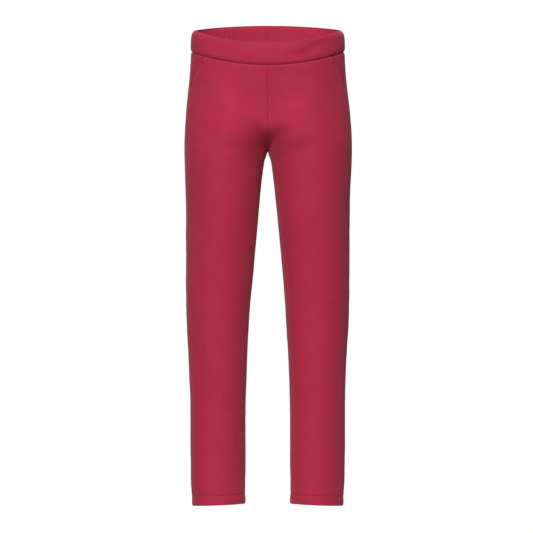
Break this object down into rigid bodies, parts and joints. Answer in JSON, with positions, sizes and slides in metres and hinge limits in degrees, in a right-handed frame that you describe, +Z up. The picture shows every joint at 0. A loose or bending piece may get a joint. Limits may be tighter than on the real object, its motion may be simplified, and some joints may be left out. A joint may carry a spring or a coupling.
{
  "type": "knit warm-up trousers",
  "caption": "Full-length straight-leg knit warm-up trousers with an elastic waistband, slanted side pockets and stitched hems.",
  "frame": {"origin": "centre of the waist opening, level with the top edge of the waistband at the side seams", "axes": "+Z up out of the waist, -Y the way the wearer faces, +X towards the wearer's left"},
  "size_m": [0.3792, 0.2535, 1.086],
  "materials": {
    "cloth": "matte raspberry red polyester knit",
    "thread": "satin polyester thread, a shade darker than the cloth",
    "elastic": "off-white woven elastic webbing",
    "pocket_lining": "thin warp-knit pocketing in the cloth colour"
  },
  "bodies": {
    "root": {"waistband": "cloth", "waist_elastic": "elastic", "waistband_facing": "cloth", "waistband_stitching": "thread", "front_panel_left": "cloth", "back_panel_left": "cloth", "pocket_facing_left": "cloth", "pocket_bag_front_left": "pocket_lining", "pocket_bag_back_left": "pocket_lining", "pocket_stitching_left": "thread", "pocket_bartack_upper_left": "thread", "pocket_bartack_lower_left": "thread", "hem_stitching_left": "thread", "front_panel_right": "cloth", "back_panel_right": "cloth", "pocket_facing_right": "cloth", "pocket_bag_front_right": "pocket_lining", "pocket_bag_back_right": "pocket_lining", "pocket_stitching_right": "thread", "pocket_bartack_upper_right": "thread", "pocket_bartack_lower_right": "thread", "hem_stitching_right": "thread"}
  },
  "joints": []
}
